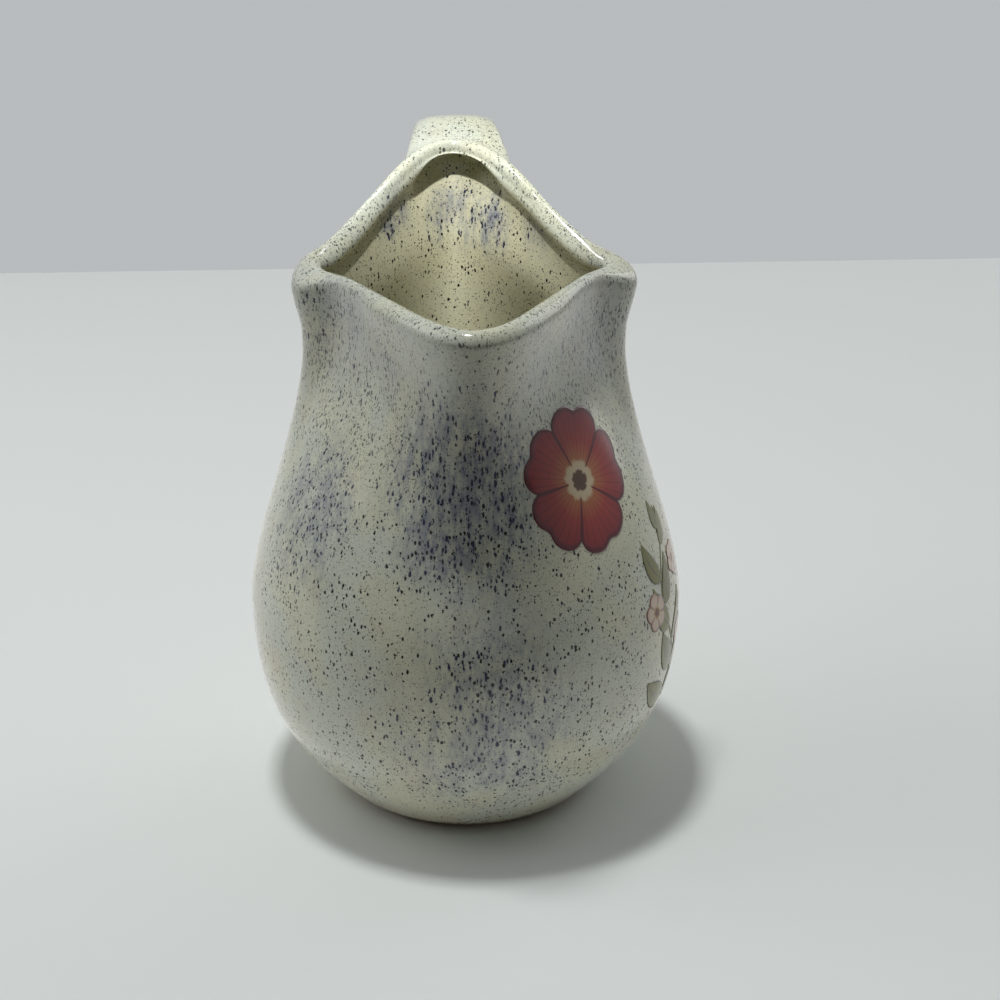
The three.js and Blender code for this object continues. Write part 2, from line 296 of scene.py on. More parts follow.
foot_edge = 1 * mm
clay_side = outside_line(coat)
clay_foot = clay_side[0, 0]
clay_inside = inside_line(coat)
clay_line = np.concatenate([
    np.stack([np.linspace(0, clay_foot - foot_edge, 24), np.zeros(24)], -1),
    [(clay_foot - 0.3 * foot_edge, 0.25 * foot_edge)],
    clay_side[clay_side[:, 1] > foot_edge],
    clay_inside,
])
clay_grid = turned_grid(clay_line, inner_half(clay_line, len(clay_inside)))

# Behind the hollow the wall keeps a least thickness: its outside gives way into the strap's root
least_wall = 0.3 * mm
back_columns = np.flatnonzero(turn_from_spout(facings) > math.radians(150))
first_inside = len(clay_line) - len(clay_inside)
upper_rows = np.flatnonzero(clay_line[:, 1] > neck_height)
outside_rows = upper_rows[(upper_rows < first_inside) & (clay_line[upper_rows, 0] >= roll_radius)]
inside_rows = upper_rows[upper_rows >= first_inside]
for column in back_columns:
    inside = clay_grid[inside_rows[::-1], column]
    outside = clay_grid[outside_rows, column]
    wanted = np.stack([np.interp(outside[:, 2], inside[:, 2], inside[:, axis]) for axis in (0, 1)], -1)
    wanted *= 1 + least_wall / np.linalg.norm(wanted, axis=1)[:, None]
    pierced = np.linalg.norm(wanted, axis=1) > np.linalg.norm(outside[:, :2], axis=1)
    clay_grid[outside_rows[pierced], column, :2] = wanted[pierced]
clay_body = new_piece("clay_body_shell", clay_grid, ring_faces(len(clay_line), columns))
merge_poles(clay_body)


def new_material(name):
    """A material with its node tree, its shader and a function that adds and wires a node."""
    material = bpy.data.materials.new(name)
    material.use_nodes = True
    tree = material.node_tree
    shader = tree.nodes["Principled BSDF"]

    def node(kind, links=None, **settings):
        made = tree.nodes.new("ShaderNode" + kind)
        for key, value in settings.items():
            setattr(made, key, value)
        for socket, value in (links or {}).items():
            if isinstance(value, bpy.types.NodeSocket):
                tree.links.new(value, made.inputs[socket])
            else:
                made.inputs[socket].default_value = value
        return made

    return material, tree, shader, node


def clay_material(name, light, dark):
    """Bare fired stoneware: sandy, matt, with fine dark grit."""
    material, tree, shader, node = new_material(name)
    place = node("TexCoord").outputs["Object"]
    sand = node("TexNoise", {"Vector": place, "Scale": 900, "Detail": 4, "Roughness": 0.6})
    cloud = node("TexNoise", {"Vector": place, "Scale": 60, "Detail": 3})
    tone = node("Math", {0: sand.outputs["Fac"], 1: cloud.outputs["Fac"]}, operation="MULTIPLY")
    colour = node("ValToRGB", {"Fac": tone.outputs[0]})
    colour.color_ramp.elements[0].position = 0.12
    colour.color_ramp.elements[0].color = (*dark, 1)
    colour.color_ramp.elements[1].position = 0.36
    colour.color_ramp.elements[1].color = (*light, 1)
    bump = node("Bump", {"Height": sand.outputs["Fac"], "Strength": 0.35, "Distance": 0.0003})
    tree.links.new(colour.outputs["Color"], shader.inputs["Base Color"])
    tree.links.new(bump.outputs["Normal"], shader.inputs["Normal"])
    shader.inputs["Roughness"].default_value = 0.85
    return material


clay_finish = clay_material("bare_clay", light=(0.62, 0.50, 0.36), dark=(0.34, 0.25, 0.17))
clay_body.data.materials.append(clay_finish)
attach(clay_body, "root")
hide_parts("clay_body")


# Cast handle
# A strap of the same clay, cast apart and bent to a loop. It springs from the back of the rim, arches
# over and comes down to the belly. All of it lies under the glaze.

back_height = rim_height + back_rise
strap_middles = np.array([
    (back_reach - 20 * mm, back_height - 12.3 * mm),
    (back_reach + 4 * mm, back_height - 3.6 * mm),
    (back_reach + 16 * mm, back_height + 1.2 * mm),
    (back_reach + 38 * mm, back_height - 7.8 * mm),
    (back_reach + 51 * mm, back_height - 39.8 * mm),
    (belly_radius + 21 * mm, belly_height + 42 * mm),
    (belly_radius - 9 * mm, belly_height + 12 * mm),
])
root_width, neck_width, crown_width, end_width = 38 * mm, 31 * mm, 26 * mm, 30 * mm
strap_thickness, end_thickness = 9 * mm, 12 * mm
strap_sections = np.array([
    (root_width, end_thickness),
    (neck_width, strap_thickness),
    (crown_width, strap_thickness),
    (crown_width, strap_thickness),
    (crown_width, strap_thickness),
    (crown_width, strap_thickness),
    (end_width, end_thickness),
])
strap_edge_fullness = 0.7
strap_face_fullness = 0.8


def through_stops(stops, at):
    """A smooth curve through stops, at shares of the way from the first to the last, and its slope."""
    ends = np.concatenate([[2 * stops[0] - stops[1]], stops, [2 * stops[-1] - stops[-2]]])
    spans = len(stops) - 1
    place = np.clip(np.asarray(at, float) * spans, 0, spans)
    first = np.minimum(place.astype(int), spans - 1)
    t = (place - first)[..., None]
    p0, p1, p2, p3 = (ends[first + step] for step in range(4))

    def gap(a, b):
        return np.maximum(np.linalg.norm(b - a, axis=-1), 1e-9)[..., None] ** 0.5

    before, between, after = gap(p0, p1), gap(p1, p2), gap(p2, p3)
    same = between < 1e-4
    between = np.where(same, mm**0.5, between)
    before = np.where(before < 1e-4, between, before)
    after = np.where(after < 1e-4, between, after)
    pull_1 = between * ((p1 - p0) / before - (p2 - p0) / (before + between) + (p2 - p1) / between)
    pull_2 = between * ((p2 - p1) / between - (p3 - p1) / (between + after) + (p3 - p2) / after)
    cubic = 2 * p1 - 2 * p2 + pull_1 + pull_2
    square = -3 * p1 + 3 * p2 - 2 * pull_1 - pull_2
    points = ((cubic * t + square) * t + pull_1) * t + p1
    slopes = (3 * cubic * t + 2 * square) * t + pull_1
    return points, slopes / np.linalg.norm(slopes, axis=-1)[..., None].clip(1e-12)


def strap_points(at, turn, inset=0.0):
    """Points on the strap's surface, by share along it and turn round its section."""
    middle, along = through_stops(strap_middles, at)
    section = through_stops(strap_sections, at)[0] / 2 - inset
    sideways = section[..., 0] * np.sign(np.cos(turn)) * np.abs(np.cos(turn)) ** strap_edge_fullness
    upwards = section[..., 1] * np.sign(np.sin(turn)) * np.abs(np.sin(turn)) ** strap_face_fullness
    y = middle[..., 0] - along[..., 1] * upwards
    z = middle[..., 1] + along[..., 0] * upwards
    return np.stack([sideways, y, z], -1)


strap_sides = 96
strap_turns = np.arange(strap_sides) * 2 * math.pi / strap_sides


def strap_block(name, first, last, rows, inset):
    """A closed length of the strap, from one share of its way to another, with flat ends."""
    rings = strap_points(shares(rows, first, last)[:, None], strap_turns[None, :], inset)
    start, end = rings[:1].mean(1, keepdims=True), rings[-1:].mean(1, keepdims=True)
    ends = [np.broadcast_to(middle, (1, strap_sides, 3)) for middle in (start, end)]
    grid = np.concatenate([ends[0], rings, ends[1]])
    block = new_piece(name, grid, ring_faces(len(grid), strap_sides)[:, ::-1])
    merge_poles(block)
    return block


strap_start, strap_finish = 0.235, 0.96
strap_core = strap_block("clay_handle_strap", strap_start, strap_finish, 160, coat)
strap_core.data.materials.append(clay_finish)
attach(strap_core, "root")
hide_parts("clay_handle")


# Slip joints
# Two thin pads of liquid clay that lute the strap's ends to the body, under the glaze, and are fired
# hard with the rest.

slip_finish = clay_material("joining_slip", light=(0.56, 0.45, 0.32), dark=(0.36, 0.27, 0.18))
pad_share, pad_gap = 0.008, 0.001
pad_starts = {
    "upper_slip_joint": strap_start - pad_gap - pad_share,
    "lower_slip_joint": strap_finish + pad_gap,
}
for joint, first in pad_starts.items():
    pad = strap_block(joint.replace("joint", "pad"), first, first + pad_share, 4, coat)
    pad.data.materials.append(slip_finish)
    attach(pad, "root")
    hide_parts(joint)


# Body glaze
# A glossy cream coat, dipped and poured over the whole body and fired. It is flecked with dark iron,
# blue ran down it in places, and it stops short of the base, where the foot was wiped clean.

glaze_thickness = 0.5 * mm
bare_foot_height = 3 * mm
fillet = 8 * mm
overlap = 1.5 * mm
tuck = 0.4 * mm
flow_steps = 8
back_half = 20 * mm
past_crest, inner_edge = math.radians(95), math.radians(150)

fine_lower = side_points(lower_side, 0, shares(2000))
foot_share = np.interp(bare_foot_height, fine_lower[:, 1], shares(2000))
glaze_outside = outside_line(0, foot_share)
glaze_inside = inside_line(0)
glaze_line = np.concatenate([glaze_outside, glaze_inside])
glaze_grid = turned_grid(glaze_line, inner_half(glaze_line, len(glaze_inside)))


def tree_of(points, faces):
    return BVHTree.FromPolygons(points.reshape(-1, 3).tolist(), faces.tolist())


def distances(tree, points):
    """Signed distances from a closed surface to points, and the directions away from it."""
    away = np.empty(len(points))
    direction = np.empty((len(points), 3))
    for index, point in enumerate(points.tolist()):
        spot, normal, face, length = tree.find_nearest(point)
        offset = Vector(point) - spot
        side = 1 if offset.dot(normal) >= 0 else -1
        away[index] = side * length
        direction[index] = offset * (side / length) if length > 1e-6 else normal
    return away, direction


strap_samples = shares(300)
strap_grid = strap_points(strap_samples[:, None], strap_turns[None, :])
strap_tree = tree_of(strap_grid, ring_faces(len(strap_samples), strap_sides)[:, ::-1])
glaze_faces = ring_faces(len(glaze_line), columns)
wall_tree = tree_of(turned_grid(glaze_line, 0.0), glaze_faces)


def flow_together(points, own_tree, other_tree, other_away, depth, weight=None):
    """Moves points to the surface where the body and the strap flow into each other in a soft fillet,
    all the way or by each point's weight."""
    near = np.flatnonzero((other_away < fillet) & (other_away > -depth))
    spots = points[near]
    for _ in range(flow_steps):
        own, own_direction = distances(own_tree, spots)
        other, other_direction = distances(other_tree, spots)
        soft = np.clip(fillet - np.abs(own - other), 0, None) / fillet
        height = np.minimum(own, other) - soft**2 * fillet / 4
        own_share = np.where(own < other, 1 - soft / 2, soft / 2)[:, None]
        uphill = own_share * own_direction + (1 - own_share) * other_direction
        steep = (uphill**2).sum(1)[:, None].clip(0.05)
        spots = spots - np.clip(height, -2 * mm, 2 * mm)[:, None] * uphill / steep
    uphill /= np.linalg.norm(uphill, axis=1)[:, None]
    sunk = tuck * np.clip(-other_away[near] / depth, 0, 1) ** 2
    moved = points.copy()
    share = 1.0 if weight is None else weight[near][:, None]
    moved[near] += share * (spots - uphill * sunk[:, None] - points[near])
    return moved


glaze_points = glaze_grid.reshape(-1, 3).copy()
outer = np.repeat(np.arange(len(glaze_line)) < len(glaze_outside), columns)
near_handle = np.flatnonzero(outer & (glaze_points[:, 1] > back_half))
from_strap = np.full(len(glaze_points), 1.0)
from_strap[near_handle] = distances(strap_tree, glaze_points[near_handle])[0]
over_rim = np.arctan2(glaze_line[:, 1] - roll_height, glaze_line[:, 0] - roll_radius)
on_roll = 1 - smoothstep(past_crest, inner_edge, over_rim)
by_row = np.where(glaze_line[:, 1] > roll_height, on_roll, 1)
by_row[len(glaze_outside) - 1:] = 0
weight = np.repeat(by_row, columns)
glaze_points[near_handle] = flow_together(
    glaze_points[near_handle], wall_tree, strap_tree, from_strap[near_handle], overlap, weight[near_handle])
under_strap = ((from_strap < -overlap) & (weight == 1))[glaze_faces].any(1)
glaze_faces = glaze_faces[~under_strap]


def coat_shell(name, points, faces, thickness, marks):
    """A closed thin coat: the points are its outside, and its inside lies under them by the thickness.
    marks are named values for the points that its finish reads."""
    skin = new_piece("skin", points, faces)
    normals = np.empty(len(points) * 3)
    skin.data.vertices.foreach_get("normal", normals)
    bpy.data.objects.remove(skin)
    under = points - thickness * normals.reshape(-1, 3)
    starts, ends = faces.ravel(), np.roll(faces, -1, axis=1).ravel()
    count = len(points)
    both_ways = np.intersect1d(starts * count + ends, ends * count + starts)
    open_edge = ~np.isin(starts * count + ends, both_ways)
    open_edge &= np.linalg.norm(points[starts] - points[ends], axis=1) > 1e-7
    a, b = starts[open_edge], ends[open_edge]
    closing = np.stack([b, a, a + count, b + count], -1)
    shell = new_piece(
        name,
        np.concatenate([points, under]),
        np.concatenate([faces, faces[:, ::-1] + count, closing]),
    )
    for mark, values in marks.items():
        attribute = shell.data.attributes.new(mark, "FLOAT", "POINT")
        attribute.data.foreach_set("value", np.concatenate([values, values]).astype(np.float32))
    merge_poles(shell)
    return shell


body_glaze = coat_shell(
    "body_glaze_coat", glaze_points, glaze_faces, glaze_thickness, {"outer": outer.astype(float)})


def glaze_material():
    """Glossy cream glaze: iron flecks, pepper, runs near the rim, blue that pooled and ran in places."""
    material, tree, shader, node = new_material("speckled_glaze")
    place = node("TexCoord").outputs["Object"]
    outer_side = node("Attribute", attribute_name="outer").outputs["Fac"]
    height = node("SeparateXYZ", {"Vector": place}).outputs["Z"]

    def maths(operation, first, second=0.0, third=0.0, clamp=False):
        return node("Math", {0: first, 1: second, 2: third}, operation=operation, use_clamp=clamp).outputs[0]

    def ramp(value, low, high, start=0.0, end=1.0):
        made = node(
            "MapRange",
            {"Value": value, "From Min": low, "From Max": high, "To Min": start, "To Max": end},
            interpolation_type="SMOOTHSTEP",
        )
        return made.outputs["Result"]

    def noise(scale, detail=2.0, roughness=0.5, vector=place):
        made = node("TexNoise", {"Vector": vector, "Scale": scale, "Detail": detail, "Roughness": roughness})
        return made.outputs["Fac"]

    def mix(share, first, second):
        made = node("Mix", data_type="RGBA")
        for socket, value in (("Factor_Float", share), ("A_Color", first), ("B_Color", second)):
            target = next(i for i in made.inputs if i.identifier == socket)
            if isinstance(value, bpy.types.NodeSocket):
                tree.links.new(value, target)
            else:
                target.default_value = value if socket == "Factor_Float" else (*value, 1)
        return next(o for o in made.outputs if o.identifier == "Result_Color")

    inner_side = maths("SUBTRACT", 1.0, outer_side)
    ragged = node("TexNoise", {"Vector": place, "Scale": 1400, "Detail": 1.0}).outputs["Color"]
    ragged = node("VectorMath", {0: ragged, 1: (0.5, 0.5, 0.5)}, operation="SUBTRACT").outputs["Vector"]
    ragged = node("VectorMath", {0: ragged, "Scale": 0.0007}, operation="SCALE").outputs["Vector"]
    ragged = node("VectorMath", {0: place, 1: ragged}, operation="ADD").outputs["Vector"]
    drawn_down = node("Mapping", {"Vector": place, "Scale": (1, 1, 0.35)}).outputs["Vector"]

    def flecks(cell, smallest, largest, softness, long=1.0, shift=0.0, less=0.0):
        """Spots in cells of a size, each of its own radius, as a share of dark; stretched down if long."""
        stretch = {"Vector": ragged, "Location": (shift, shift, shift), "Scale": (1, 1, 1 / long)}
        spread = node("Mapping", stretch).outputs["Vector"]
        cells = node("TexVoronoi", {"Vector": spread, "Scale": 1 / cell}, voronoi_dimensions="3D")
        chance = node("SeparateColor", {"Color": cells.outputs["Color"]})
        squared = maths("MULTIPLY", chance.outputs["Red"], chance.outputs["Red"])
        radius = maths("MULTIPLY_ADD", squared, (largest - smallest) / cell, smallest / cell)
        inward = maths("SUBTRACT", radius, cells.outputs["Distance"])
        inward = maths("MULTIPLY_ADD", inner_side, -less / cell, inward)
        return ramp(inward, -softness / cell, softness / cell), chance.outputs, inward

    # Where the flecks lie close, where they thin out towards the foot, and where they run under the rim
    crowd = ramp(noise(70, 3), 0.36, 0.62, 0.35, 1.0)
    foot_thin = ramp(height, 6 * mm, 30 * mm, 0.6, 1.0)
    run_zone = maths("MULTIPLY", ramp(height, 100 * mm, 138 * mm), outer_side)
    sideways = maths("ABSOLUTE", node("SeparateXYZ", {"Vector": place}).outputs["X"])
    run_zone = maths("MULTIPLY", run_zone, ramp(sideways, 6 * mm, 30 * mm, 0.35, 1.0))

    # Base colour: cream with bluish white, yellowish and pinkish clouds and a fine grain, warmer inside
    base = mix(ramp(noise(38, 3), 0.38, 0.62), (0.70, 0.715, 0.53), (0.66, 0.70, 0.58))
    base = mix(ramp(noise(85, 3), 0.50, 0.72, 0.0, 0.30), base, (0.66, 0.58, 0.41))
    base = mix(maths("MULTIPLY", inner_side, 0.75), base, (0.71, 0.675, 0.445))
    base = mix(ramp(noise(1700, 2, 0.7), 0.35, 0.75, 0.0, 0.30), base, (0.36, 0.35, 0.31))

    # Blue: pooled in a few places, denser in their middles, drawn out downwards
    blue_places = [
        ((-2.5, -52, 114), 28, 1.6),
        ((4, -64, 50), 36, 0.72),
        ((-45, -31, 104), 26, 0.75),
        ((-44, -18, 148), 22, 0.5),
        ((44, -18, 148), 20, 0.4),
        ((-22, 35, 168), 10, 1.1),
        ((-1, 43, 167), 12, 1.1),
        ((12, 41, 164), 10, 1.1),
        ((27, 31, 165), 10, 1.1),
        ((-44, 42, 60), 34, 0.9),
        ((50, 36, 100), 30, 0.8),
        ((20, 60, 45), 26, 0.8),
    ]
    blue_zone = None
    squat = node("Mapping", {"Vector": place, "Scale": (1, 1, 0.7)}).outputs["Vector"]
    for (x, y, z), reach, strength in blue_places:
        centre = (x * mm, y * mm, 0.7 * z * mm)
        far = node("VectorMath", {0: squat, 1: centre}, operation="DISTANCE").outputs["Value"]
        here = ramp(far, 0.2 * reach * mm, reach * mm, strength, 0.0)
        blue_zone = here if blue_zone is None else maths("MAXIMUM", blue_zone, here)
    clouds = ramp(noise(150, 3, vector=drawn_down), 0.30, 0.56, 0.12, 1.0)
    blue_zone = maths("MULTIPLY", blue_zone, clouds, clamp=True)
    haze = ramp(noise(420, 3, vector=drawn_down), 0.34, 0.66, 0.20, 0.85)
    base = mix(maths("MULTIPLY", blue_zone, haze), base, (0.25, 0.27, 0.30))
    veil = ramp(noise(110, 3, vector=drawn_down), 0.32, 0.62, 0.0, 0.28)
    veil = maths("MULTIPLY", maths("MULTIPLY", run_zone, veil), ramp(height, 158 * mm, 172 * mm, 1.0, 0.2))
    base = mix(veil, base, (0.46, 0.48, 0.51))

    medium, medium_chance, _ = flecks(1.02 * mm, 0.13 * mm, 0.44 * mm, 0.045 * mm, long=1.6, less=0.05 * mm)
    pepper, _, _ = flecks(0.62 * mm, 0.07 * mm, 0.23 * mm, 0.04 * mm, shift=0.11)
    runs, _, _ = flecks(0.60 * mm, 0.09 * mm, 0.26 * mm, 0.05 * mm, long=6.0, shift=0.23)
    blue, blue_chance, blue_inward = flecks(1.02 * mm, 0.17 * mm, 0.44 * mm, 0.07 * mm, long=2.8, shift=0.37)

    halo = maths("MULTIPLY", ramp(blue_inward, -0.5, 0.05), blue_zone)
    base = mix(maths("MULTIPLY", halo, 0.6), base, (0.15, 0.175, 0.26))
    blue_wanted = maths("GREATER_THAN", maths("MULTIPLY", blue_zone, 1.1), blue_chance["Green"])
    blue_here = maths("MULTIPLY", blue, blue_wanted)
    blue_tone = mix(blue_chance["Blue"], (0.018, 0.028, 0.060), (0.028, 0.022, 0.070))
    base = mix(blue_here, base, blue_tone)

    thick = maths("MULTIPLY", maths("MAXIMUM", crowd, blue_zone), foot_thin)
    medium_here = maths("MULTIPLY", medium, maths("GREATER_THAN", thick, medium_chance["Green"]))
    medium_here = maths("MULTIPLY", medium_here, maths("MULTIPLY_ADD", run_zone, -0.35, 1.0))
    pepper_share = maths("MULTIPLY_ADD", inner_side, 0.25, maths("MULTIPLY_ADD", thick, 0.5, 0.35))
    pepper_here = maths("MULTIPLY", pepper, pepper_share)
    runs_here = maths("MULTIPLY", runs, maths("MULTIPLY", run_zone, ramp(noise(150, 2), 0.3, 0.6, 0.45, 1.0)))
    base = mix(pepper_here, base, (0.050, 0.043, 0.038))
    base = mix(runs_here, base, (0.050, 0.055, 0.070))
    base = mix(medium_here, base, (0.016, 0.014, 0.016))

    dark = maths("MAXIMUM", medium_here, blue_here)
    swell = maths("MULTIPLY_ADD", dark, -0.25, noise(180, 2))
    bump = node("Bump", {"Height": swell, "Strength": 0.12, "Distance": 0.0004})
    tree.links.new(base, shader.inputs["Base Color"])
    tree.links.new(ramp(dark, 0, 1, 0.13, 0.26), shader.inputs["Roughness"])
    tree.links.new(bump.outputs["Normal"], shader.inputs["Normal"])
    shader.inputs["IOR"].default_value = 1.52
    return material


glaze_finish = glaze_material()
body_glaze.data.materials.append(glaze_finish)
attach(body_glaze, "root")
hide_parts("body_glaze")


# Handle glaze
# The same glaze over the strap. It flows into the body's glaze in a soft fillet at both ends, because
# the joints were smoothed over with a wet sponge before the ware was dipped.

inside_reach = 0.7 * mm
dipping_rows = 5
upper_part, lower_part = 0.4, 0.6
end_crowding = 0.55
fine = shares(900)
strap_rows = 260
even = shares(strap_rows)
eased = even - end_crowding * np.sin(2 * math.pi * even) / (2 * math.pi)
lines = []
for turn in strap_turns:
    line = strap_points(fine, np.full(len(fine), turn))
    lengths = np.concatenate([[0], np.cumsum(np.linalg.norm(np.diff(line, axis=0), axis=1))])
    away = distances(wall_tree, line)[0]
    out_again = np.flatnonzero((away[:-1] < 0) & (away[1:] >= 0) & (fine[1:] < upper_part))
    start = out_again[-1] if len(out_again) else np.argmin(np.where(fine < upper_part, away, 1))
    in_again = np.flatnonzero((away[:-1] >= 0) & (away[1:] < 0) & (fine[1:] > lower_part))
    end = in_again[0] if len(in_again) else np.argmin(np.where(fine > lower_part, away, 1))
    run = np.interp(eased, [0, 1], [lengths[start] - inside_reach, lengths[end] + inside_reach])
    lines.append(strap_points(np.interp(run, lengths, fine), np.full(len(run), turn)))
strap_skin = np.stack(lines, 1).reshape(-1, 3)
from_wall = distances(wall_tree, strap_skin)[0]
strap_skin = flow_together(strap_skin, strap_tree, wall_tree, from_wall, 4 * inside_reach)
row_numbers = np.arange(strap_rows + 1)
rows_to_end = np.minimum(row_numbers, strap_rows - row_numbers)
dip = tuck * np.clip(1 - rows_to_end / dipping_rows, 0, 1) ** 2
away_from_wall = distances(wall_tree, strap_skin)[1]
strap_skin = strap_skin - np.repeat(dip, strap_sides)[:, None] * away_from_wall
handle_glaze = coat_shell(
    "handle_glaze_coat", strap_skin, ring_faces(strap_rows + 1, strap_sides)[:, ::-1], glaze_thickness,
    {"outer": np.ones(len(strap_skin))})
handle_glaze.data.materials.append(glaze_finish)
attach(handle_glaze, "root")
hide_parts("handle_glaze")


# Bloom print
# A flower printed on a film, slid onto the glaze and fired in. Five notched petals in dusky red with
# darker edges and fine veins, round a pale ring and a brown eye.

print_thickness = 0.15 * mm
bloom_facing = math.radians(38)
bloom_height = rim_height - 50.3 * mm
bloom_reach = 19.6 * mm
petals = 5
side_line = np.concatenate([
    side_points(lower_side, 0, shares(400)),
    side_points(upper_side, 0, shares(400))[1:],
    side_points(flare_side, 0, shares(100))[1:],
])


def on_wall(facing, height, across, up, lift):
    """Points of a print, laid on the glaze round a facing and a height."""
    level = height + up
    radius = np.interp(level, side_line[:, 1], side_line[:, 0])
    swing = facing + across / radius
    here = pull(swing, radius, level)
    step = 0.2 * mm
    beside = pull(swing + step / radius, radius, level)
    above = pull(swing, np.interp(level + step, side_line[:, 1], side_line[:, 0]), level + step)
    normal = np.cross(beside - here, above - here)
    return here + normal / np.linalg.norm(normal, axis=-1)[..., None] * np.asarray(lift)[..., None]


rings, spokes = 40, 360
ring_share = np.linspace(0.0, 1, rings)[:, None]
spoke = np.arange(spokes) * 2 * math.pi / spokes
petal_turn = (spoke * petals / (2 * math.pi) + 0.5) % 1 * 2 - 1
petal_shape = 1 - 0.20 * np.abs(petal_turn) ** 5 - 0.07 * np.exp(-((petal_turn / 0.2) ** 2))
bloom_radius = bloom_reach * petal_shape[None, :] * ring_share
bloom_points = on_wall(
    bloom_facing, bloom_height, bloom_radius * np.cos(spoke), bloom_radius * np.sin(spoke),
    np.full((rings, spokes), print_thickness))
bloom = coat_shell(
    "bloom_print", bloom_points.reshape(-1, 3), ring_faces(rings, spokes)[:, ::-1], 2 * print_thickness,
    {
        "petal_out": np.repeat(ring_share.ravel(), spokes),
        "petal_side": np.tile(np.abs(petal_turn), rings),
    })


def graded(node, value, low, high, start=0.0, end=1.0):
    """A share that runs from start to end while a value runs from low to high."""
    links = {"Value": value, "From Min": low, "From Max": high, "To Min": start, "To Max": end}
    return node("MapRange", links).outputs["Result"]


def overprint(node, share, under, over):
    """A colour printed over another by a share."""
    return node("MixRGB", {"Fac": share, "Color1": under, "Color2": (*over, 1)}).outputs["Color"]


material, tree, shader, node = new_material("bloom_ink")
out = node("Attribute", attribute_name="petal_out").outputs["Fac"]
side = node("Attribute", attribute_name="petal_side").outputs["Fac"]
place = node("TexCoord").outputs["Object"]
grain = node("TexNoise", {"Vector": place, "Scale": 700, "Detail": 3.0}).outputs["Fac"]
wobble = node("Math", {0: grain, 1: 0.08, 2: -0.04}, operation="MULTIPLY_ADD").outputs[0]
reach = node("Math", {0: out, 1: wobble}, operation="ADD").outputs[0]
inks = node("ValToRGB", {"Fac": reach})
stops = inks.color_ramp.elements
stops[0].position, stops[0].color = 0.0, (0.10, 0.05, 0.03, 1)
stops[1].position, stops[1].color = 1.0, (0.11, 0.012, 0.018, 1)
for position, colour in (
    (0.13, (0.12, 0.06, 0.03)),
    (0.16, (0.62, 0.52, 0.36)),
    (0.25, (0.60, 0.48, 0.30)),
    (0.30, (0.42, 0.15, 0.06)),
    (0.55, (0.34, 0.045, 0.035)),
    (0.90, (0.24, 0.022, 0.028)),
    (0.95, (0.11, 0.012, 0.018)),
):
    stop = stops.new(position)
    stop.color = (*colour, 1)
seam = graded(node, side, 0.90, 0.97)
petal_zone = node("Math", {0: out, 1: 0.27}, operation="GREATER_THAN").outputs[0]
seam = node("Math", {0: seam, 1: petal_zone}, operation="MULTIPLY").outputs[0]
vein_wave = node("Math", {0: side, 1: 24.0}, operation="MULTIPLY").outputs[0]
vein_wave = node("Math", {0: vein_wave}, operation="COSINE").outputs[0]
vein = graded(node, vein_wave, 0.80, 1.0, end=0.45)
vein = node("Math", {0: vein, 1: petal_zone}, operation="MULTIPLY").outputs[0]
lines_here = node("Math", {0: seam, 1: vein}, operation="MAXIMUM").outputs[0]
inked = overprint(node, lines_here, inks.outputs["Color"], (0.09, 0.010, 0.016))
tree.links.new(inked, shader.inputs["Base Color"])
shader.inputs["Roughness"].default_value = 0.2
bloom.data.materials.append(material)
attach(bloom, "root")
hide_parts("bloom_transfer")


# Sprig print
# A leafy sprig, printed and fired on in the same way: an olive stem with alternate leaves and three
# small pale blossoms, round towards the side of the belly.

sprig_facing = math.radians(66)
sprig_height = 66 * mm
blossom_tint = 0.5
sprig = {"across": [], "up": [], "lift": [], "edge": [], "along": [], "tint": [], "faces": []}


def add_print(across, up, lift, edge, along, tint, closed=False):
    """Adds a grid of points as one printed shape, closed round if its rows are rings."""
    first = sum(len(part) for part in sprig["across"])
    rows, ring = across.shape
    faces = ring_faces(rows, ring, first)
    if not closed:
        faces = faces[np.arange(len(faces)) % ring < ring - 1]
    sprig["faces"].append(faces)
    for key, value in (("across", across), ("up", up), ("edge", edge), ("along", along)):
        sprig[key].append(np.broadcast_to(value, across.shape).ravel())
    sprig["lift"].append(np.full(across.size, lift))
    sprig["tint"].append(np.full(across.size, tint))


def stem_middle(share):
    """The stem's gentle double bend, as distances across and up."""
    return 4.5 * mm * np.sin(2.6 * math.pi * share), (-30 + 60 * share) * mm


share = shares(80)[:, None]
sides = np.linspace(-1, 1, 5)[None, :]
stem_x, stem_y = stem_middle(share)
stem_half = (0.75 - 0.45 * share) * mm
add_print(stem_x + sides * stem_half, stem_y + 0 * sides, 0.10 * mm, np.abs(sides) * 0.5, 0.5, 0.2)


def add_leaf(share, lean, length, width, tint):
    """A pointed leaf that leaves the stem at a share of its height and leans off to one side."""
    t = shares(26)[:, None]
    s = np.linspace(-1, 1, 13)[None, :]
    root_x, root_y = stem_middle(np.array(share))
    half = width / 2 * np.sin(math.pi * t**0.75) ** 0.9
    bend = lean + np.sign(lean) * -0.5 * (t - 0.3)
    x = root_x + t * length * np.sin(bend) + s * half * np.cos(bend)
    y = root_y + t * length * np.cos(bend) - s * half * np.sin(bend)
    add_print(x, y, 0.14 * mm, np.abs(s) + 0 * t, t + 0 * s, tint)


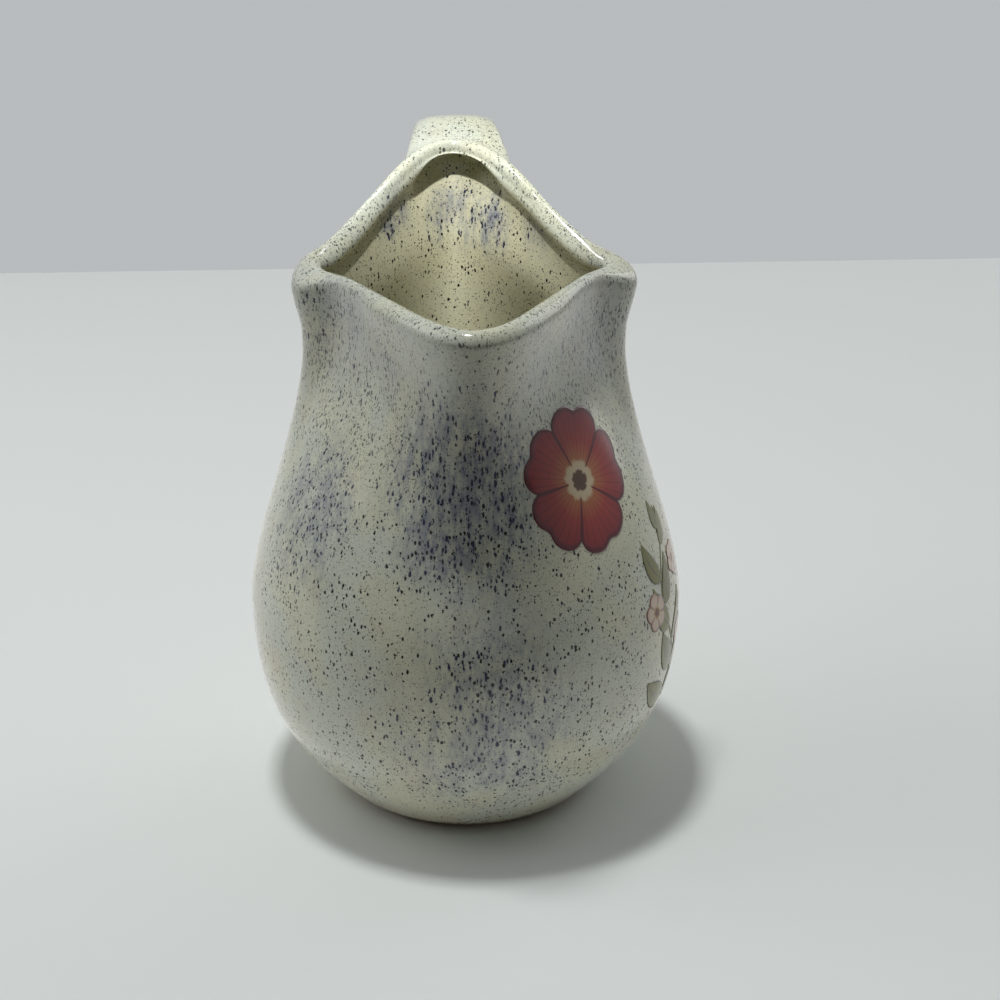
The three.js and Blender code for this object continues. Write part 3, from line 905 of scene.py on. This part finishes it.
for number, (share, lean, length, width) in enumerate([
    (0.02, 1.35, 18 * mm, 8.6 * mm),
    (0.03, -1.35, 18 * mm, 8.8 * mm),
    (0.14, 0.95, 17 * mm, 8.2 * mm),
    (0.18, -1.00, 18 * mm, 8.4 * mm),
    (0.32, 0.85, 16 * mm, 7.6 * mm),
    (0.42, -0.85, 17 * mm, 7.6 * mm),
    (0.56, 0.85, 15 * mm, 7.0 * mm),
    (0.68, -0.85, 15 * mm, 6.8 * mm),
    (0.82, 0.75, 11 * mm, 5.4 * mm),
    (0.90, -0.65, 9 * mm, 4.6 * mm),
]):
    add_leaf(share, lean, length, width, (number * 0.37) % 1)


def add_blossom(x, y, reach, turn):
    """A small open blossom of five rounded petals."""
    around = np.arange(60)[None, :] * 2 * math.pi / 60
    out = np.linspace(0, 1, 10)[:, None]
    lobes = 0.78 + 0.22 * np.abs(np.cos(2.5 * (around + turn)))
    across = x - out * reach * lobes * np.cos(around)
    up = y + out * reach * lobes * np.sin(around)
    fold = np.abs(np.sin(2.5 * (around + turn))) + 0 * out
    add_print(across, up, 0.18 * mm, out + 0 * around, fold, blossom_tint, closed=True)


add_blossom(9.5 * mm, 12 * mm, 5.2 * mm, 0.3)
add_blossom(-10.0 * mm, 3 * mm, 5.8 * mm, 1.1)
add_blossom(10.5 * mm, -11 * mm, 5.0 * mm, 2.0)

across, up, lift = (np.concatenate(sprig[key]) for key in ("across", "up", "lift"))
sprig_points = on_wall(sprig_facing, sprig_height, across, up, lift)
sprig_faces = np.concatenate(sprig["faces"])
sprig_print = coat_shell(
    "sprig_print", sprig_points, sprig_faces, 2 * print_thickness,
    {"print_edge": np.concatenate(sprig["edge"]), "print_along": np.concatenate(sprig["along"]),
     "print_tint": np.concatenate(sprig["tint"])})

leaf_ink, tree, shader, node = new_material("leaf_ink")
edge = node("Attribute", attribute_name="print_edge").outputs["Fac"]
tint = node("Attribute", attribute_name="print_tint").outputs["Fac"]
place = node("TexCoord").outputs["Object"]
grain = node("TexNoise", {"Vector": place, "Scale": 600, "Detail": 3.0}).outputs["Fac"]
green = overprint(node, tint, (0.13, 0.15, 0.02, 1), (0.20, 0.20, 0.03))
mottle = graded(node, grain, 0.4, 0.75, end=0.35)
green = overprint(node, mottle, green, (0.13, 0.11, 0.04))
rib = graded(node, edge, 0.05, 0.13, 0.8, 0.0)
rim_ink = graded(node, edge, 0.80, 0.92, end=0.85)
ink_lines = node("Math", {0: rib, 1: rim_ink}, operation="MAXIMUM").outputs[0]
green = overprint(node, ink_lines, green, (0.07, 0.07, 0.025))
tree.links.new(green, shader.inputs["Base Color"])
shader.inputs["Roughness"].default_value = 0.2

blossom_ink, tree, shader, node = new_material("blossom_ink")
edge = node("Attribute", attribute_name="print_edge").outputs["Fac"]
seam = node("Attribute", attribute_name="print_along").outputs["Fac"]
inks = node("ValToRGB", {"Fac": edge})
stops = inks.color_ramp.elements
stops[0].position, stops[0].color = 0.20, (0.16, 0.07, 0.03, 1)
stops[1].position, stops[1].color = 0.97, (0.20, 0.12, 0.08, 1)
for position, colour in ((0.28, (0.52, 0.28, 0.10)), (0.40, (0.66, 0.57, 0.42)), (0.85, (0.66, 0.50, 0.40))):
    stop = stops.new(position)
    stop.color = (*colour, 1)
fold = graded(node, seam, 0.93, 0.99, end=0.7)
away = graded(node, edge, 0.3, 0.4)
fold = node("Math", {0: fold, 1: away}, operation="MULTIPLY").outputs[0]
petal = overprint(node, fold, inks.outputs["Color"], (0.22, 0.12, 0.08))
tree.links.new(petal, shader.inputs["Base Color"])
shader.inputs["Roughness"].default_value = 0.2

for ink in (leaf_ink, blossom_ink):
    sprig_print.data.materials.append(ink)
tints = sprig_print.data.attributes["print_tint"].data
for face in sprig_print.data.polygons:
    face.material_index = int(tints[face.vertices[0]].value == blossom_tint)
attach(sprig_print, "root")
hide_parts("sprig_transfer")


# Studio
# A pale floor that ends behind the pitcher, a pale surround, a lamp high above, a broad lamp at
# the left, a soft light at the right, and a spot into the mouth that lights only the glaze. The floor
# looks evenly pale to the camera, but the light it bounces is painted shade: dark in front of the
# pitcher and pale near it, so the pitcher's front falls in shade. The camera stands in front, a
# little to the left, and looks down.

bpy.ops.mesh.primitive_grid_add(x_subdivisions=2, y_subdivisions=2, size=1)
floor = bpy.context.object
floor.name = "floor"
floor_back = 0.54
floor_front = -3.0
floor.dimensions = (6, floor_back - floor_front, 0)
floor.location = (0, (floor_back + floor_front) / 2, 0)
material, tree, shader, node = new_material("floor_paint")
floor_place = node("NewGeometry").outputs["Position"]
# Painted shade: for bounced light the floor is dark (0.10) in front of the pitcher and pale (1.0) near it,
# which darkens the pitcher's front; camera rays see an even pale colour
forward = node("VectorMath", {0: floor_place, 1: (0.15, 1, 0)}, operation="DOT_PRODUCT").outputs["Value"]
bounce_shade = node("MapRange", {
    "Value": forward, "From Min": -0.30, "From Max": -0.10, "To Min": 0.10, "To Max": 1.0}).outputs["Result"]
paint = node("MixRGB", {
    "Fac": node("LightPath").outputs["Is Camera Ray"],
    "Color1": bounce_shade,
    "Color2": (0.82, 0.86, 0.85, 1),
})
tree.links.new(paint.outputs["Color"], shader.inputs["Base Color"])
shader.inputs["Roughness"].default_value = 0.9
shader.inputs["Specular IOR Level"].default_value = 0.1
floor.data.materials.append(material)

world = bpy.data.worlds.new("studio")
bpy.context.scene.world = world
world.use_nodes = True
tree = world.node_tree
surround = tree.nodes["Background"]
ray = tree.nodes.new("ShaderNodeLightPath")
seen = tree.nodes.new("ShaderNodeMath")
seen.operation = "MAXIMUM"
tree.links.new(ray.outputs["Is Camera Ray"], seen.inputs[0])
tree.links.new(ray.outputs["Is Transmission Ray"], seen.inputs[1])
seen_too = tree.nodes.new("ShaderNodeMath")
seen_too.operation = "MAXIMUM"
tree.links.new(seen.outputs[0], seen_too.inputs[0])
tree.links.new(ray.outputs["Is Glossy Ray"], seen_too.inputs[1])
direction = tree.nodes.new("ShaderNodeTexCoord")
upward = tree.nodes.new("ShaderNodeVectorMath")
upward.operation = "DOT_PRODUCT"
upward.inputs[1].default_value = (0.05, 0.48, 0.87)
tree.links.new(direction.outputs["Generated"], upward.inputs[0])
sky = tree.nodes.new("ShaderNodeMapRange")
sky.inputs["To Min"].default_value = 0.02
sky.inputs["To Max"].default_value = 0.34
tree.links.new(upward.outputs["Value"], sky.inputs["Value"])
tone = tree.nodes.new("ShaderNodeMixRGB")
tree.links.new(sky.outputs["Result"], tone.inputs["Color1"])
tone.inputs["Color2"].default_value = (0.48, 0.50, 0.51, 1)
tree.links.new(seen_too.outputs[0], tone.inputs["Fac"])
tree.links.new(tone.outputs["Color"], surround.inputs["Color"])


def add_lamp(name, size, power, place, aim):
    """A square soft lamp that faces a point."""
    light = bpy.data.lights.new(name, "AREA")
    light.size = size
    light.energy = power
    lamp = bpy.data.objects.new(name, light)
    lamp.location = place
    lamp.rotation_euler = (Vector(aim) - Vector(place)).to_track_quat("-Z", "Y").to_euler()
    bpy.context.scene.collection.objects.link(lamp)


middle = (0, 0, 0.09)
add_lamp("high_lamp", 0.18, 9.4, (-0.17, 0.02, 1.5), middle)
add_lamp("left_lamp", 0.9, 2.9, (-1.0, 0.10, 0.80), middle)
add_lamp("right_light", 0.9, 3.4, (1.1, 0.95, 0.6), middle)

mouth_light = bpy.data.lights.new("mouth_light", "SPOT")
mouth_light.energy = 60
mouth_light.spot_size = math.radians(4.6)
mouth_light.spot_blend = 0.8
mouth_light.shadow_soft_size = 0.03
mouth_lamp = bpy.data.objects.new("mouth_light", mouth_light)
mouth_lamp.location = (-0.06, -0.42, 1.0)
mouth_aim = Vector((0, 0.041, 0.158)) - mouth_lamp.location
mouth_lamp.rotation_euler = mouth_aim.to_track_quat("-Z", "Y").to_euler()
bpy.context.scene.collection.objects.link(mouth_lamp)
glazed = bpy.data.collections.new("glazed")
for coat_piece in (body_glaze, handle_glaze):
    glazed.objects.link(coat_piece)
mouth_lamp.light_linking.receiver_collection = glazed

camera = bpy.data.objects.new("camera", bpy.data.cameras.new("camera"))
camera.data.sensor_width = 36
camera.data.lens = 70.3
camera.location = (-0.0177, -0.5367, 0.3257)
camera_turn = math.radians(3)
camera_tilt = math.radians(23.65)
camera_aim = Vector((
    math.sin(camera_turn) * math.cos(camera_tilt),
    math.cos(camera_turn) * math.cos(camera_tilt),
    -math.sin(camera_tilt),
))
camera.rotation_euler = camera_aim.to_track_quat("-Z", "Y").to_euler()
bpy.context.scene.collection.objects.link(camera)
bpy.context.scene.camera = camera
bpy.context.scene.view_settings.view_transform = "Standard"
